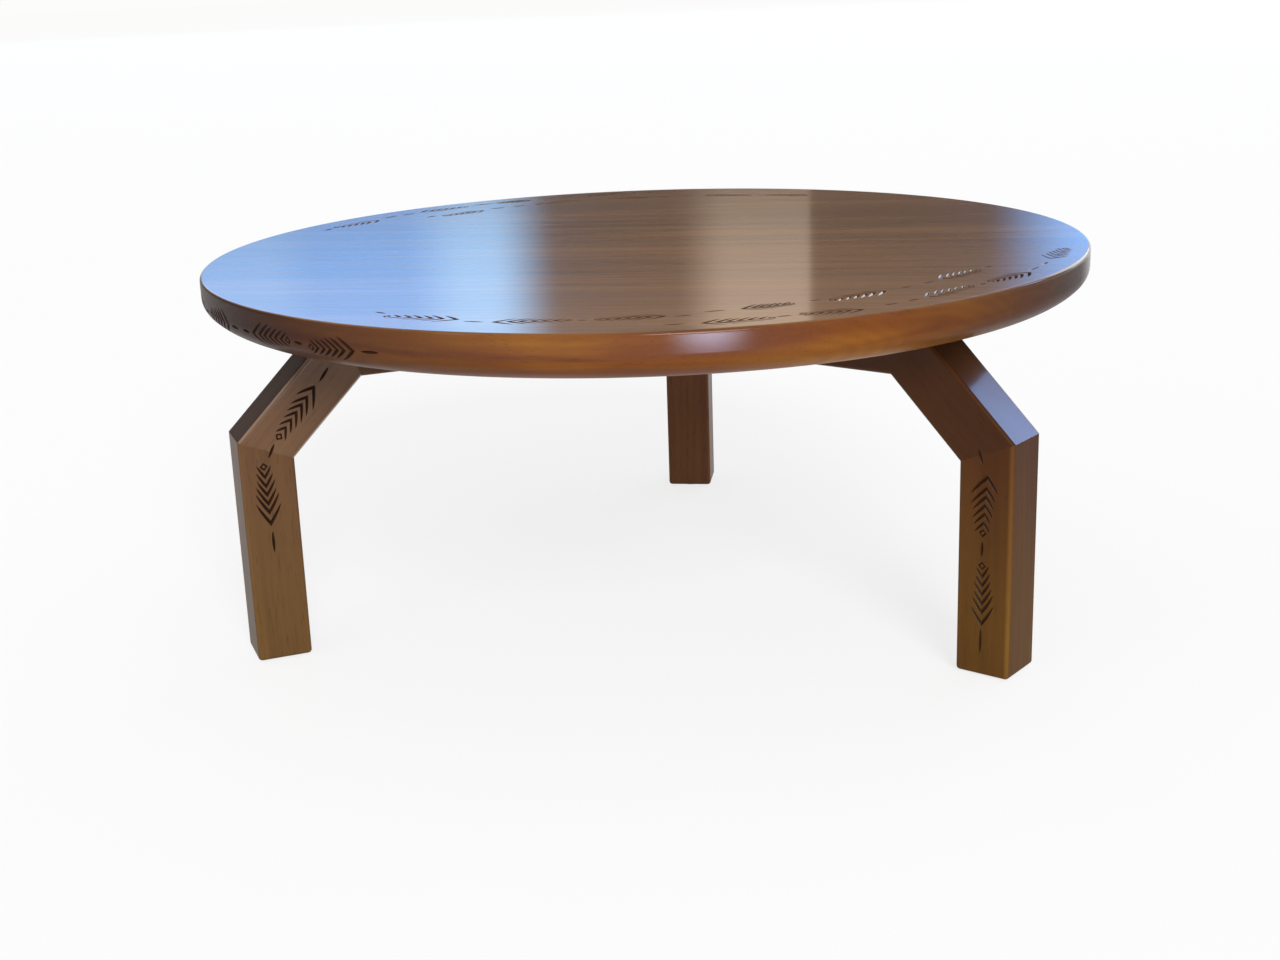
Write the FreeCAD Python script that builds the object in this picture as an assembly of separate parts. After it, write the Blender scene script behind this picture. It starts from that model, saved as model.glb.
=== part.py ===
import FreeCAD, Part
import math
import os

# Low round table: a thick edge-glued round top on three bent legs.
# Millimetres, +Z up. The origin is on the floor, under the centre of the top,
# and the rear leg points along +Y. Each bent leg is a rail, a strut and a post
# joined by splined mitres, and the three rails meet in a mitred hub.

# Overall sizes
top_diameter = 1080.0
overall_height = 454.0
top_thickness = 52.5

# The round top and its edge: two arcs carry the upright rim in under the top,
# and meet where the edge has turned by the given angle
board_count = 10
top_edge_radius = 4.0
rim_curve_radius = 20.0
under_curve_radius = 54.0
curve_meeting_angle = 45.0

# Leg members: one square stock for rail, strut and post
member_depth = 65.0
member_thickness = 65.0
arris_radius = 5.0
foot_edge_radius = 4.5
post_inset = 14.5
strut_drop = 88.0
strut_angle = 45.0
leg_names = ("rear", "left", "right")
rear_azimuth = 90.0

# Felt discs under the posts
pad_diameter = 46.0
pad_thickness = 2.0

# Hidden splines, two in each mitre of a leg: flat tongues that lie in the leg's
# plane, half in one member and half in the other
leg_spline_width = 40.0
leg_spline_thickness = 10.0
leg_spline_length = 36.0
leg_spline_spacing = 28.0

# Hidden upright splines in the hub, one between each two rails
hub_spline_width = 24.0
hub_spline_thickness = 8.0
hub_spline_length = 44.0

# Fit of every spline in its slot
spline_side_gap = 0.1
spline_end_gap = 0.5

# Screws that hold the top down on the rails, with their washers
screw_diameter = 6.0
screw_length = 75.0
screw_tip_length = 7.0
screw_head_diameter = 12.0
screw_head_height = 4.0
screw_side_gap = 0.1
screw_end_gap = 1.5
rail_hole_play = 1.5
washer_diameter = 18.0
washer_thickness = 1.5
washer_hole_play = 0.3
counterbore_depth = 26.0
counterbore_side_gap = 2.0
# Places of the screws along a rail, as shares of the rail's lower edge
screw_place_shares = (0.21, 0.92)

# How far a cutting tool runs past what it cuts
overrun = 5.0

# Sizes worked out from the ones above
leg_turn = 360 / len(leg_names)
hub_half_sector = leg_turn / 2
leg_azimuths = {name: rear_azimuth + index * leg_turn for index, name in enumerate(leg_names)}
top_radius = top_diameter / 2
underside_height = overall_height - top_thickness
rail_under_height = underside_height - member_depth
post_outer_radius = top_radius - post_inset
post_inner_radius = post_outer_radius - member_depth
knee_height = rail_under_height - strut_drop
shoulder_radius = post_inner_radius - strut_drop / math.tan(math.radians(strut_angle))
shoulder_mitre_angle = strut_angle / 2
knee_mitre_angle = (strut_angle + 90) / 2
screw_seat_height = rail_under_height + counterbore_depth
screw_head_seat_height = screw_seat_height - washer_thickness
screw_places = [share * shoulder_radius for share in screw_place_shares]
# Longer than any member, so a block of this size trims one at a mitre
reach = top_diameter + overall_height

ORIGIN = FreeCAD.Vector(0, 0, 0)
UP = FreeCAD.Vector(0, 0, 1)
TANGENT = FreeCAD.Vector(0, 1, 0)


def point(x, y, z):
    return FreeCAD.Vector(x, y, z)


def save(shape, node):
    """Writes one sub-part and says what it holds."""
    if not shape.isValid():
        raise ValueError("unsound shape: " + node)
    shape.exportStep("parts/" + node + ".step")
    print(node, len(shape.Solids), "solid(s),", round(shape.Volume), "mm3")


def swung(shape, azimuth):
    """A copy of a piece from the +X leg, swung about the table's axis."""
    copy = shape.copy()
    copy.rotate(ORIGIN, UP, azimuth)
    return copy


def tipped(shape, angle, place):
    """The shape with its +X tipped down by the angle, then moved to its place."""
    shape.rotate(ORIGIN, TANGENT, angle)
    shape.translate(place)
    return shape


def straight_edges(points):
    """Straight edges through the points, in order."""
    return [Part.makeLine(start, end) for start, end in zip(points, points[1:])]


def lathe(edges):
    """A closed outline in the XZ plane, turned a full circle about Z."""
    return Part.Face(Part.Wire(edges)).revolve(ORIGIN, UP, 360)


# The round top


def arc(centre, radius, start_angle, end_angle):
    """An arc in the XZ plane. Angles rise from +X towards +Z."""
    ends = [
        centre + point(math.cos(angle) * radius, 0, math.sin(angle) * radius)
        for angle in map(math.radians, (start_angle, (start_angle + end_angle) / 2, end_angle))
    ]
    return Part.Arc(*ends).toShape()


def top_disc():
    """The whole top, turned from one outline: a small round-over, an upright
    rim, a tight arc and a wide arc that end level with the underside."""
    turn = math.radians(curve_meeting_angle)
    flat_radius = top_radius - top_edge_radius
    rim_top = overall_height - top_edge_radius
    curve_drop = rim_curve_radius * math.sin(turn) + under_curve_radius * (1 - math.sin(turn))
    rim_bottom = underside_height + curve_drop
    tight_centre = point(top_radius - rim_curve_radius, 0, rim_bottom)
    shift = under_curve_radius - rim_curve_radius
    wide_centre = tight_centre + point(-shift * math.cos(turn), 0, shift * math.sin(turn))
    curves = [
        arc(point(flat_radius, 0, rim_top), top_edge_radius, 90, 0),
        Part.makeLine(point(top_radius, 0, rim_top), point(top_radius, 0, rim_bottom)),
        arc(tight_centre, rim_curve_radius, 0, -curve_meeting_angle),
        arc(wide_centre, under_curve_radius, -curve_meeting_angle, -90),
    ]
    flats = straight_edges(
        [
            point(wide_centre.x, 0, underside_height),
            point(0, 0, underside_height),
            point(0, 0, overall_height),
            point(flat_radius, 0, overall_height),
        ]
    )
    return lathe(curves + flats)


def board_blank(index):
    """The slab of space that one board fills, from front to rear."""
    width = top_diameter / board_count
    front = index * width - top_radius
    corner = point(-top_radius - overrun, front, underside_height - overrun)
    return Part.makeBox(
        top_diameter + 2 * overrun, width, top_thickness + 2 * overrun, corner
    )


# The leg members, drawn for a leg that points along +X


def stock(start, angle):
    """A long square bar with eased arrises. Its lower edge starts at the given
    radius and height and runs outwards, tipped down by the angle."""
    corner = point(-reach, -member_thickness / 2, 0)
    bar = Part.makeBox(2 * reach, member_thickness, member_depth, corner)
    arrises = [edge for edge in bar.Edges if edge.BoundBox.XLength > reach]
    bar = bar.makeFillet(arris_radius, arrises)
    return tipped(bar, angle, start)


def beyond(place, angle):
    """Everything past a mitre plane, which stands square to its angle."""
    block = Part.makeBox(2 * reach, 2 * reach, 2 * reach, point(0, -reach, -reach))
    return tipped(block, angle, place)


def before(place, angle):
    """Everything on the near side of a mitre plane."""
    block = Part.makeBox(
        2 * reach, 2 * reach, 2 * reach, point(-2 * reach, -reach, -reach)
    )
    return tipped(block, angle, place)


def shoulder():
    """The inner corner between rail and strut."""
    return point(shoulder_radius, 0, rail_under_height)


def knee():
    """The inner corner between strut and post."""
    return point(post_inner_radius, 0, knee_height)


def hub_sector():
    """The third of the space round the table's axis that belongs to one leg."""
    spread = reach * math.tan(math.radians(hub_half_sector))
    corners = [ORIGIN, point(reach, spread, 0), point(reach, -spread, 0), ORIGIN]
    return Part.Face(Part.makePolygon(corners)).extrude(point(0, 0, overall_height))


def rail():
    """The level member under the top, mitred to the strut and to the hub."""
    bar = stock(shoulder(), 0)
    bar = bar.cut(beyond(shoulder(), shoulder_mitre_angle))
    return bar.common(hub_sector())


def strut():
    """The sloping member between the two mitres."""
    bar = stock(shoulder(), strut_angle)
    bar = bar.cut(before(shoulder(), shoulder_mitre_angle))
    return bar.cut(beyond(knee(), knee_mitre_angle))


def post():
    """The upright member, which stands on its pad with its foot edges rounded."""
    bar = stock(knee(), 90)
    bar = bar.cut(before(knee(), knee_mitre_angle))
    bar = bar.cut(beyond(point(0, 0, pad_thickness), 90))
    just_above = pad_thickness + foot_edge_radius / 2
    foot_edges = [edge for edge in bar.Edges if edge.BoundBox.ZMax < just_above]
    return bar.makeFillet(foot_edge_radius, foot_edges)


# Splines


def spline(width, thickness, length):
    """A flat tongue centred on the origin, half of its width each side of X = 0."""
    corner = point(-width / 2, -thickness / 2, -length / 2)
    return Part.makeBox(width, thickness, length, corner)


def spline_slot(width, thickness, length):
    """The slot for such a tongue, in both pieces that it joins."""
    ends = 2 * spline_end_gap
    return spline(width + ends, thickness + 2 * spline_side_gap, length + ends)


def mitre_middle(corner, angle):
    """The middle of a mitre face. The face runs up and outwards from its inner
    corner, and is longer than the member is deep by the turn from the strut."""
    turn = math.radians(angle - strut_angle)
    half_length = member_depth / math.cos(turn) / 2
    lean = math.radians(angle)
    return corner + point(math.sin(lean) * half_length, 0, math.cos(lean) * half_length)


def leg_splines(make, corner, angle):
    """The two splines, or their slots, square to one mitre of a +X leg."""
    middle = mitre_middle(corner, angle)
    pair = []
    for side in (-1, 1):
        tongue = make(leg_spline_width, leg_spline_thickness, leg_spline_length)
        place = middle + TANGENT * (side * leg_spline_spacing / 2)
        pair.append(tipped(tongue, angle, place))
    return pair


def hub_spline(make):
    """The spline, or its slot, square to the left hub face of a +X rail."""
    face_middle = member_thickness / 2 / math.sin(math.radians(hub_half_sector)) / 2
    tongue = make(hub_spline_width, hub_spline_thickness, hub_spline_length)
    tongue.rotate(ORIGIN, UP, 90)
    tongue.translate(point(face_middle, 0, rail_under_height + member_depth / 2))
    return swung(tongue, hub_half_sector)


# Screws and washers


def top_screw():
    """A wood screw, point up, with the seat of its flat round head at the origin."""
    head_radius = screw_head_diameter / 2
    shank_radius = screw_diameter / 2
    return lathe(
        straight_edges(
            [
                point(0, 0, -screw_head_height),
                point(head_radius, 0, -screw_head_height),
                point(head_radius, 0, 0),
                point(shank_radius, 0, 0),
                point(shank_radius, 0, screw_length - screw_tip_length),
                point(0, 0, screw_length),
                point(0, 0, -screw_head_height),
            ]
        )
    )


def top_washer():
    """A flat washer that lies under the screw's head, on the counterbore's floor."""
    ring = Part.makeCylinder(washer_diameter / 2, washer_thickness)
    hole_radius = screw_diameter / 2 + washer_hole_play
    hole = Part.makeCylinder(
        hole_radius, washer_thickness + 2 * overrun, point(0, 0, -overrun)
    )
    return ring.cut(hole)


def rail_screw_hole():
    """The stepped hole through a rail: counterbore, then a roomy screw hole that
    lets the top move with the seasons. It starts at the rail's lower face."""
    counterbore = Part.makeCylinder(
        washer_diameter / 2 + counterbore_side_gap,
        counterbore_depth + overrun,
        point(0, 0, -overrun),
    )
    through = Part.makeCylinder(screw_diameter / 2 + rail_hole_play, member_depth + overrun)
    return counterbore.fuse(through)


def board_screw_hole():
    """The blind pilot hole up into the top, from the height of the head's seat."""
    return Part.makeCylinder(screw_diameter / 2 + screw_side_gap, screw_length + screw_end_gap)


def at_screws(make, height):
    """One piece at each screw place of a +X rail, at the given height."""
    pieces = []
    for place in screw_places:
        piece = make()
        piece.translate(point(place, 0, height))
        pieces.append(piece)
    return pieces


def on_every_leg(pieces):
    """Copies of the +X leg's pieces at all legs, as one group of solids."""
    return [swung(piece, azimuth) for azimuth in leg_azimuths.values() for piece in pieces]


# The pieces are cut and written


def build_top():
    pilot_holes = on_every_leg(at_screws(board_screw_hole, screw_head_seat_height))
    disc = top_disc().cut(pilot_holes)
    for index in range(board_count):
        save(disc.common(board_blank(index)), "top_board_" + str(index + 1))


def build_legs():
    shoulder_slots = leg_splines(spline_slot, shoulder(), shoulder_mitre_angle)
    knee_slots = leg_splines(spline_slot, knee(), knee_mitre_angle)
    left_slot = hub_spline(spline_slot)
    hub_slots = [left_slot, swung(left_slot, -leg_turn)]
    screw_holes = at_screws(rail_screw_hole, rail_under_height)
    cut_rail = rail().cut(shoulder_slots + hub_slots + screw_holes)
    cut_strut = strut().cut(shoulder_slots + knee_slots)
    cut_post = post().cut(knee_slots)
    pad_place = point(post_inner_radius + member_depth / 2, 0, 0)
    pad = Part.makeCylinder(pad_diameter / 2, pad_thickness, pad_place)
    for name, azimuth in leg_azimuths.items():
        save(swung(cut_rail, azimuth), name + "_rail")
        save(swung(cut_strut, azimuth), name + "_strut")
        save(swung(cut_post, azimuth), name + "_post")
        save(swung(pad, azimuth), name + "_foot_pad")


def build_joinery():
    groups = {
        "shoulder_splines": leg_splines(spline, shoulder(), shoulder_mitre_angle),
        "knee_splines": leg_splines(spline, knee(), knee_mitre_angle),
        "hub_splines": [hub_spline(spline)],
        "top_screws": at_screws(top_screw, screw_head_seat_height),
        "top_washers": at_screws(top_washer, screw_head_seat_height),
    }
    for node, pieces in groups.items():
        save(Part.makeCompound(on_every_leg(pieces)), node)


os.makedirs("parts", exist_ok=True)
build_top()
build_legs()
build_joinery()
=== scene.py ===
import math

import bmesh
import bpy
import numpy as np
from mathutils import Matrix, Vector
from mathutils.geometry import delaunay_2d_cdt


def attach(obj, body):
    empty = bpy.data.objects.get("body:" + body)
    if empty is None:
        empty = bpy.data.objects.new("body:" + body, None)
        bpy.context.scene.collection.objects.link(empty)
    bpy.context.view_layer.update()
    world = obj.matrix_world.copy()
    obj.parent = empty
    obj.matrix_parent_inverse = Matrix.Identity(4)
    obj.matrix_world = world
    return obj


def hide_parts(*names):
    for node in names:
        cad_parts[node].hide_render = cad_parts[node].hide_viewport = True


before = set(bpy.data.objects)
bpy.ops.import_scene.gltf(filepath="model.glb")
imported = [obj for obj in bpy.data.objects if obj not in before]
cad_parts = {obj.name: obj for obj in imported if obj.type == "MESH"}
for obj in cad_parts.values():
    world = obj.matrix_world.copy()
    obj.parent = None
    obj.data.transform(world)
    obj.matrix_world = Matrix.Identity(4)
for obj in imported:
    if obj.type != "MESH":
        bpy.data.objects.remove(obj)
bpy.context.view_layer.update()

MM = 0.001

# Sizes of the table, in millimetres.

TOP_HEIGHT = 454.0
TOP_RADIUS = 540.0
TOP_THICKNESS = 52.5
TOP_EDGE_RADIUS = 4.0
RIM_CURVE_RADIUS = 20.0
UNDER_CURVE_RADIUS = 54.0
CURVE_MEETING_ANGLE = math.radians(45)
BOARD_COUNT = 10
BOARD_WIDTH = 2 * TOP_RADIUS / BOARD_COUNT

STOCK = 65.0
ARRIS_RADIUS = 5.0
FOOT_EDGE_RADIUS = 4.5
POST_STANDS_AT = 2.0
STRUT_DROP = 88.0
POST_OUTER = TOP_RADIUS - 14.5
POST_INNER = POST_OUTER - STOCK
LEG_AZIMUTHS = {"rear": 90.0, "left": 210.0, "right": 330.0}

UNDERSIDE = TOP_HEIGHT - TOP_THICKNESS
SHOULDER_INNER = (POST_INNER - STRUT_DROP, UNDERSIDE - STOCK)
SHOULDER_SPREAD = STOCK * math.tan(math.radians(22.5))
SHOULDER_OUTER = (SHOULDER_INNER[0] + SHOULDER_SPREAD, UNDERSIDE)
KNEE_INNER = (POST_INNER, UNDERSIDE - STOCK - STRUT_DROP)
KNEE_OUTER = (POST_OUTER, KNEE_INNER[1] + SHOULDER_SPREAD)

# Cuts of the carver's V tool.
# A cut is (points, depths, edges): points in the unrolled face, in millimetres, their depths and
# the lines that the faces of the cut have to follow.

DASH_WIDTH = 3.8
FAR_DASH_WIDTH = 5.6
DASH_STEPS = 10
ARM_WIDTH = 4.2
ARM_STATIONS = (0.13, 0.28, 0.44, 0.6, 0.75, 0.87, 0.95)
DEPTH_PER_HALF_WIDTH = 1.0
EYE_HALF_SIZE = 5.2
EYE_RING_SHARES = (1.0, 0.7, 0.4)
EYE_DEPTH_SHARE = 0.26

# A feather's six pairs of barbs, from its tip to its eye: their places along it and their sizes.
BARB_PLACE_SHARES = (1.0, 0.81, 0.665, 0.515, 0.37, 0.22)
BARB_SIZE_SHARES = (1.0, 0.9, 0.79, 0.72, 0.63, 0.57)
NARROWEST_SHARE = 0.62
TIP_REACH = 0.75 * ARM_WIDTH
USUAL_ARMS = ((15.0, 22.0), (15.0, 22.0))
# How uneven the barbs are, and how fast that changes between feathers, between barbs and sides.
HAND_SHARE = 0.05
FEATHER_WAVE, BARB_WAVE, SIDE_WAVE = 0.37, 2.4, 1.9


def join_cuts(cuts):
    """Cuts put in one list of points, depths and edges."""
    points, depths, edges, count = [], [], [], 0
    for p, d, e in cuts:
        points.append(p)
        depths.append(d)
        edges.append(e + count)
        count += len(p)
    return np.concatenate(points), np.concatenate(depths), np.concatenate(edges)


def ring_edges(first, count):
    k = np.arange(count)
    return np.stack([first + k, first + (k + 1) % count], 1)


def dash(a, b, width=DASH_WIDTH):
    """A spindle from a to b: its half width is width / 2 times (4 s (1 - s)) ** 0.7, and its
    valley runs down the middle, as deep as the half width times a constant."""
    a, b = np.array(a, float), np.array(b, float)
    s = np.linspace(0, 1, DASH_STEPS + 1)[1:-1, None]
    along = (b - a) / np.linalg.norm(b - a)
    across = np.array([-along[1], along[0]])
    half = width / 2 * (4 * s * (1 - s)) ** 0.7
    middle = a + (b - a) * s
    n = len(s)
    points = np.concatenate([[a], middle + across * half, [b], (middle - across * half)[::-1], middle])
    depths = np.zeros(len(points))
    depths[2 * n + 2:] = DEPTH_PER_HALF_WIDTH * half[:, 0]
    valley = np.concatenate([[0], np.arange(2 * n + 2, 3 * n + 2), [n + 1]])
    return points, depths, np.concatenate([ring_edges(0, 2 * n + 2), np.stack([valley[:-1], valley[1:]], 1)])


def arm(apex, span, lean, width):
    """One arm of a barb in the feather's own frame: its middle line, the two sides of its outline
    and its half widths. It runs back from the apex through (apex - lean s, span (1.2 s - 0.2 s s)),
    and its half width is width / 2 times (1 - s ** 2.6) ** 0.8, so that it ends in a point."""
    s = np.array(ARM_STATIONS)
    middle = np.stack([apex - lean * s, span * (1.2 * s - 0.2 * s * s)], 1)
    slope = np.stack([-lean + 0 * s, span * (1.2 - 0.4 * s)], 1)
    slope /= np.linalg.norm(slope, axis=1)[:, None]
    across = np.stack([slope[:, 1], -slope[:, 0]], 1) * np.sign(span)
    half = width / 2 * (1 - s ** 2.6) ** 0.8
    return middle, middle + across * half[:, None], middle - across * half[:, None], half


def barb_pair(apex, arms, width):
    """Two arms that sweep back from one apex. arms holds the (span, lean) of each."""
    (span_a, lean_a), (span_b, lean_b) = arms
    middle_a, outer_a, inner_a, half = arm(apex, span_a, lean_a, width)
    middle_b, outer_b, inner_b, _ = arm(apex, -span_b, lean_b, width)
    lean, spread = (lean_a + lean_b) / 2, 1.2 * (span_a + span_b) / 2
    reach = width / 2 * math.hypot(lean, spread) / spread
    n = len(half)
    points = np.concatenate([
        [[apex + reach, 0]], outer_a, [[apex - lean_a, span_a]], inner_a[::-1], [[apex - reach, 0]],
        inner_b, [[apex - lean_b, -span_b]], outer_b[::-1], [[apex, 0]], middle_a, middle_b])
    outline = 4 * n + 4
    depths = np.zeros(len(points))
    depths[outline:] = DEPTH_PER_HALF_WIDTH * np.concatenate([[width / 2], half, half])
    near = np.concatenate([[outline], np.arange(outline + 1, outline + 1 + n), [n + 1]])
    far = np.concatenate([[outline], np.arange(outline + 1 + n, outline + 1 + 2 * n), [3 * n + 3]])
    valleys = [np.stack([v[:-1], v[1:]], 1) for v in (near, far)]
    return points, depths, np.concatenate([ring_edges(0, outline)] + valleys)


def eye():
    """A diamond-shaped ring groove round a raised diamond."""
    corner = np.array([[1, 0], [0, 1], [-1, 0], [0, -1]], float)
    points = np.concatenate([corner * EYE_HALF_SIZE * share for share in EYE_RING_SHARES])
    depths = np.repeat([0.0, DEPTH_PER_HALF_WIDTH * EYE_HALF_SIZE * EYE_DEPTH_SHARE, 0.0], 4)
    return points, depths, np.concatenate([ring_edges(4 * k, 4) for k in range(3)])


def feather(eye_at, tip_at, arms=USUAL_ARMS):
    """An eye, and six pairs of barbs up to the tip. arms holds the (span, lean) of the two arms of
    the tip pair, the left one as seen from the tip first. The others shrink towards the eye, each
    a little uneven, as a hand cuts them."""
    eye_at, tip_at = np.array(eye_at, float), np.array(tip_at, float)
    length = np.linalg.norm(tip_at - eye_at)
    along = (tip_at - eye_at) / length
    turn = np.array([[along[0], along[1]], [-along[1], along[0]]])
    cuts = [eye()]
    wave = eye_at.sum() * FEATHER_WAVE
    for k, (place, share) in enumerate(zip(BARB_PLACE_SHARES, BARB_SIZE_SHARES)):
        uneven = [1 + HAND_SHARE * math.sin(wave + BARB_WAVE * k + SIDE_WAVE * side) for side in (0, 1)]
        sizes = [(span * share * u, lean * share * u) for (span, lean), u in zip(arms, uneven)]
        width = ARM_WIDTH * (NARROWEST_SHARE + (1 - NARROWEST_SHARE) * share)
        cuts.append(barb_pair(place * length - TIP_REACH, sizes, width))
    return [(p @ turn + eye_at, d, e) for p, d, e in cuts]


# Where the cuts stand.

def on_top(azimuth, radius):
    """A place on the top, from its azimuth in degrees and its radius in millimetres."""
    a = math.radians(azimuth)
    return radius * math.cos(a), radius * math.sin(a)


# Each row is a mark and its two ends as (azimuth, radius). A feather runs from its eye to its tip.
# The rows of the inner band come first.
FRONT_BANDS = (
    ("dash", (-24.4, 458), (-26.7, 455)), ("feather", (-28.4, 456), (-37.0, 447)),
    ("dash", (-38.5, 450), (-41.0, 450)), ("dash", (-43.0, 450), (-45.3, 450)),
    ("feather", (-56.8, 454), (-47.6, 449)), ("dash", (-57.8, 446), (-59.7, 446)),
    ("feather", (-62.5, 449), (-69.6, 453)), ("dash", (-71.3, 452), (-74.5, 455)),
    ("dash", (-75.9, 466), (-78.4, 470)), ("feather", (-87.4, 472), (-79.0, 465)),
    ("dash", (-88.6, 474), (-90.0, 474)), ("feather", (-91.0, 473), (-100.1, 487)),
    ("dash", (-100.9, 488), (-103.7, 488)), ("feather", (-114.4, 489), (-104.5, 481)),
    ("dash", (-115.7, 478), (-117.7, 476)),
    ("feather", (-9.0, 512), (-17.2, 505)), ("dash", (-19.6, 508), (-21.8, 507)),
    ("dash", (-23.3, 508), (-26.2, 506)), ("feather", (-34.7, 500), (-27.1, 512)),
    ("dash", (-36.1, 502), (-37.7, 502)), ("feather", (-38.7, 499), (-47.4, 504)),
    ("dash", (-48.6, 507), (-50.5, 507)), ("dash", (-51.9, 509), (-54.0, 509)),
    ("feather", (-63.9, 505), (-56.8, 515)), ("dash", (-65.2, 505), (-67.1, 505)),
    ("feather", (-67.7, 508), (-75.8, 510)), ("dash", (-77.2, 508), (-80.0, 508)),
)
FAR_BANDS = (
    ("dash", (141.3, 445), (139.0, 445)), ("feather", (138.1, 434), (129.1, 437)),
    ("dash", (127.4, 445), (124.4, 445)), ("dash", (122.8, 445), (120.2, 445)),
    ("feather", (108.9, 457), (118.3, 446)), ("dash", (107.5, 452), (105.1, 452)),
    ("feather", (103.6, 455), (96.0, 455)), ("dash", (94.6, 457), (92.0, 458)),
    ("dash", (90.4, 458), (87.8, 459)), ("feather", (77.4, 461), (86.0, 460)),
    ("dash", (76.0, 463), (75.0, 464)), ("feather", (74.0, 466), (66.4, 474)),
    ("dash", (160.4, 492), (158.2, 492)), ("feather", (157.2, 493), (147.9, 484)),
    ("dash", (146.0, 495), (142.9, 495)), ("dash", (142.1, 495), (139.3, 495)),
    ("feather", (129.4, 494), (138.2, 498)), ("dash", (128.1, 500), (123.4, 500)),
    ("feather", (123.0, 498), (117.0, 498)), ("dash", (115.6, 500), (113.0, 501)),
    ("dash", (111.4, 502), (108.8, 503)), ("feather", (99.2, 507), (107.4, 504)),
    ("dash", (97.8, 508), (95.2, 509)),
)
# On the rim, the second number is the way down the rim from the edge of the flat top.
RIM_BAND = (
    ("dash", (-111.3, 28.0), (-113.9, 28.8)), ("feather", (-121.4, 31.1), (-114.6, 29.1)),
    ("dash", (-122.8, 29.5), (-124.3, 28.0)), ("feather", (-125.4, 28.0), (-133.0, 28.8)),
    ("dash", (-133.6, 29.5), (-135.4, 28.8)), ("dash", (-136.7, 29.9), (-138.7, 28.8)),
    ("feather", (-146.9, 28.0), (-139.4, 29.0)), ("dash", (-148.7, 28.5), (-150.6, 28.5)),
    ("feather", (-151.8, 28.5), (-159.4, 28.5)), ("dash", (-160.4, 28.5), (-162.6, 28.5)),
)
# On the legs, a place is (distance from the table's axis, height). A mark that crosses a mitre
# stands in the rows of both members.
LEFT_KNEE_DASH = ("dash", (482.7, 269.5), (491.3, 252.1))
RIGHT_KNEE_DASH = ("dash", (483.3, 267.0), (489.1, 249.5))
LEG_BANDS = {
    "left_strut": (
        ("dash", (411.1, 352.9), (423.8, 336.1)),
        ("feather", (476.5, 276.7), (428.9, 333.0), ((15.1, 22.8), (13.0, 19.2))),
        LEFT_KNEE_DASH,
    ),
    "left_post": (
        LEFT_KNEE_DASH,
        ("feather", (497.8, 242.9), (495.5, 169.9), ((15.4, 27.8), (15.5, 24.5))),
        ("dash", (494.6, 163.9), (494.6, 136.4)),
    ),
    "right_strut": (RIGHT_KNEE_DASH,),
    "right_post": (
        RIGHT_KNEE_DASH,
        ("feather", (490.9, 170.7), (495.0, 238.4), ((18.6, 22.5), (13.8, 16.5))),
        ("dash", (491.0, 161.5), (490.0, 142.0)),
        ("feather", (491.0, 132.4), (491.6, 60.5), ((15.6, 25.0), (12.5, 19.2))),
        ("dash", (491.3, 58.5), (490.6, 27.0)),
    ),
}


def cuts_of(band, place, dash_width=DASH_WIDTH):
    """The cuts of a band's rows; place turns what a row says into a point of the unrolled face."""
    cuts = []
    for mark, a, b, *arms in band:
        if mark == "feather":
            cuts += feather(place(*a), place(*b), *arms)
        else:
            cuts.append(dash(place(*a), place(*b), dash_width))
    return cuts


# Meshes.

FILL_TOLERANCE = 1e-5
GRID_CLEARANCE = 0.4
FLAT_RING_INSET = 0.5
WELD_DISTANCE = 2e-6
SAW_ALLOWANCE, SAW_TOLERANCE = 40.0, 1e-7
ROUND_STEPS = 720
TOP_EDGE_STEPS, RIM_CURVE_STEPS, UNDER_CURVE_STEPS = 8, 8, 12
UPRIGHT_STEPS = 5
ARRIS_STEPS = 6
FOOT_STEPS = 5
# How near to a skin a point counts as on it, and how deep under the flat top a cut may reach.
TOUCH, CORNER_TOUCH = 1e-3, 1e-4
CUT_REACH = 3.0
TINY = 1e-9
# The cosine between a face and the ideal skin, above which the face takes the skin's direction.
ON_SKIN_COSINE = 0.93


def cut_mesh(points, edges, cuts):
    """Triangles that fill the outline of the points and follow every line of the cuts.
    Returns all the points, the depth of each and the triangles."""
    cut_points, cut_depths, cut_edges = join_cuts(cuts)
    every = np.concatenate([points, cut_points])
    lines = np.concatenate([edges, cut_edges + len(points)])
    depths = np.concatenate([np.zeros(len(points)), cut_depths])
    verts, _, faces, came_from, _, _ = delaunay_2d_cdt(
        [Vector(p) for p in every.tolist()], lines.tolist(), [], 0, FILL_TOLERANCE)
    depth = np.array([max([depths[k] for k in ks], default=0.0) for ks in came_from])
    return np.array([v[:] for v in verts]), depth, np.array([f for f in faces if len(f) == 3])


def far_from_cuts(points, cuts):
    """True for the points that stand clear of every cut's box."""
    keep = np.ones(len(points), bool)
    for p, _, _ in cuts:
        low, high = p.min(0) - GRID_CLEARANCE, p.max(0) + GRID_CLEARANCE
        keep &= ~np.all((points > low) & (points < high), axis=1)
    return keep


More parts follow.
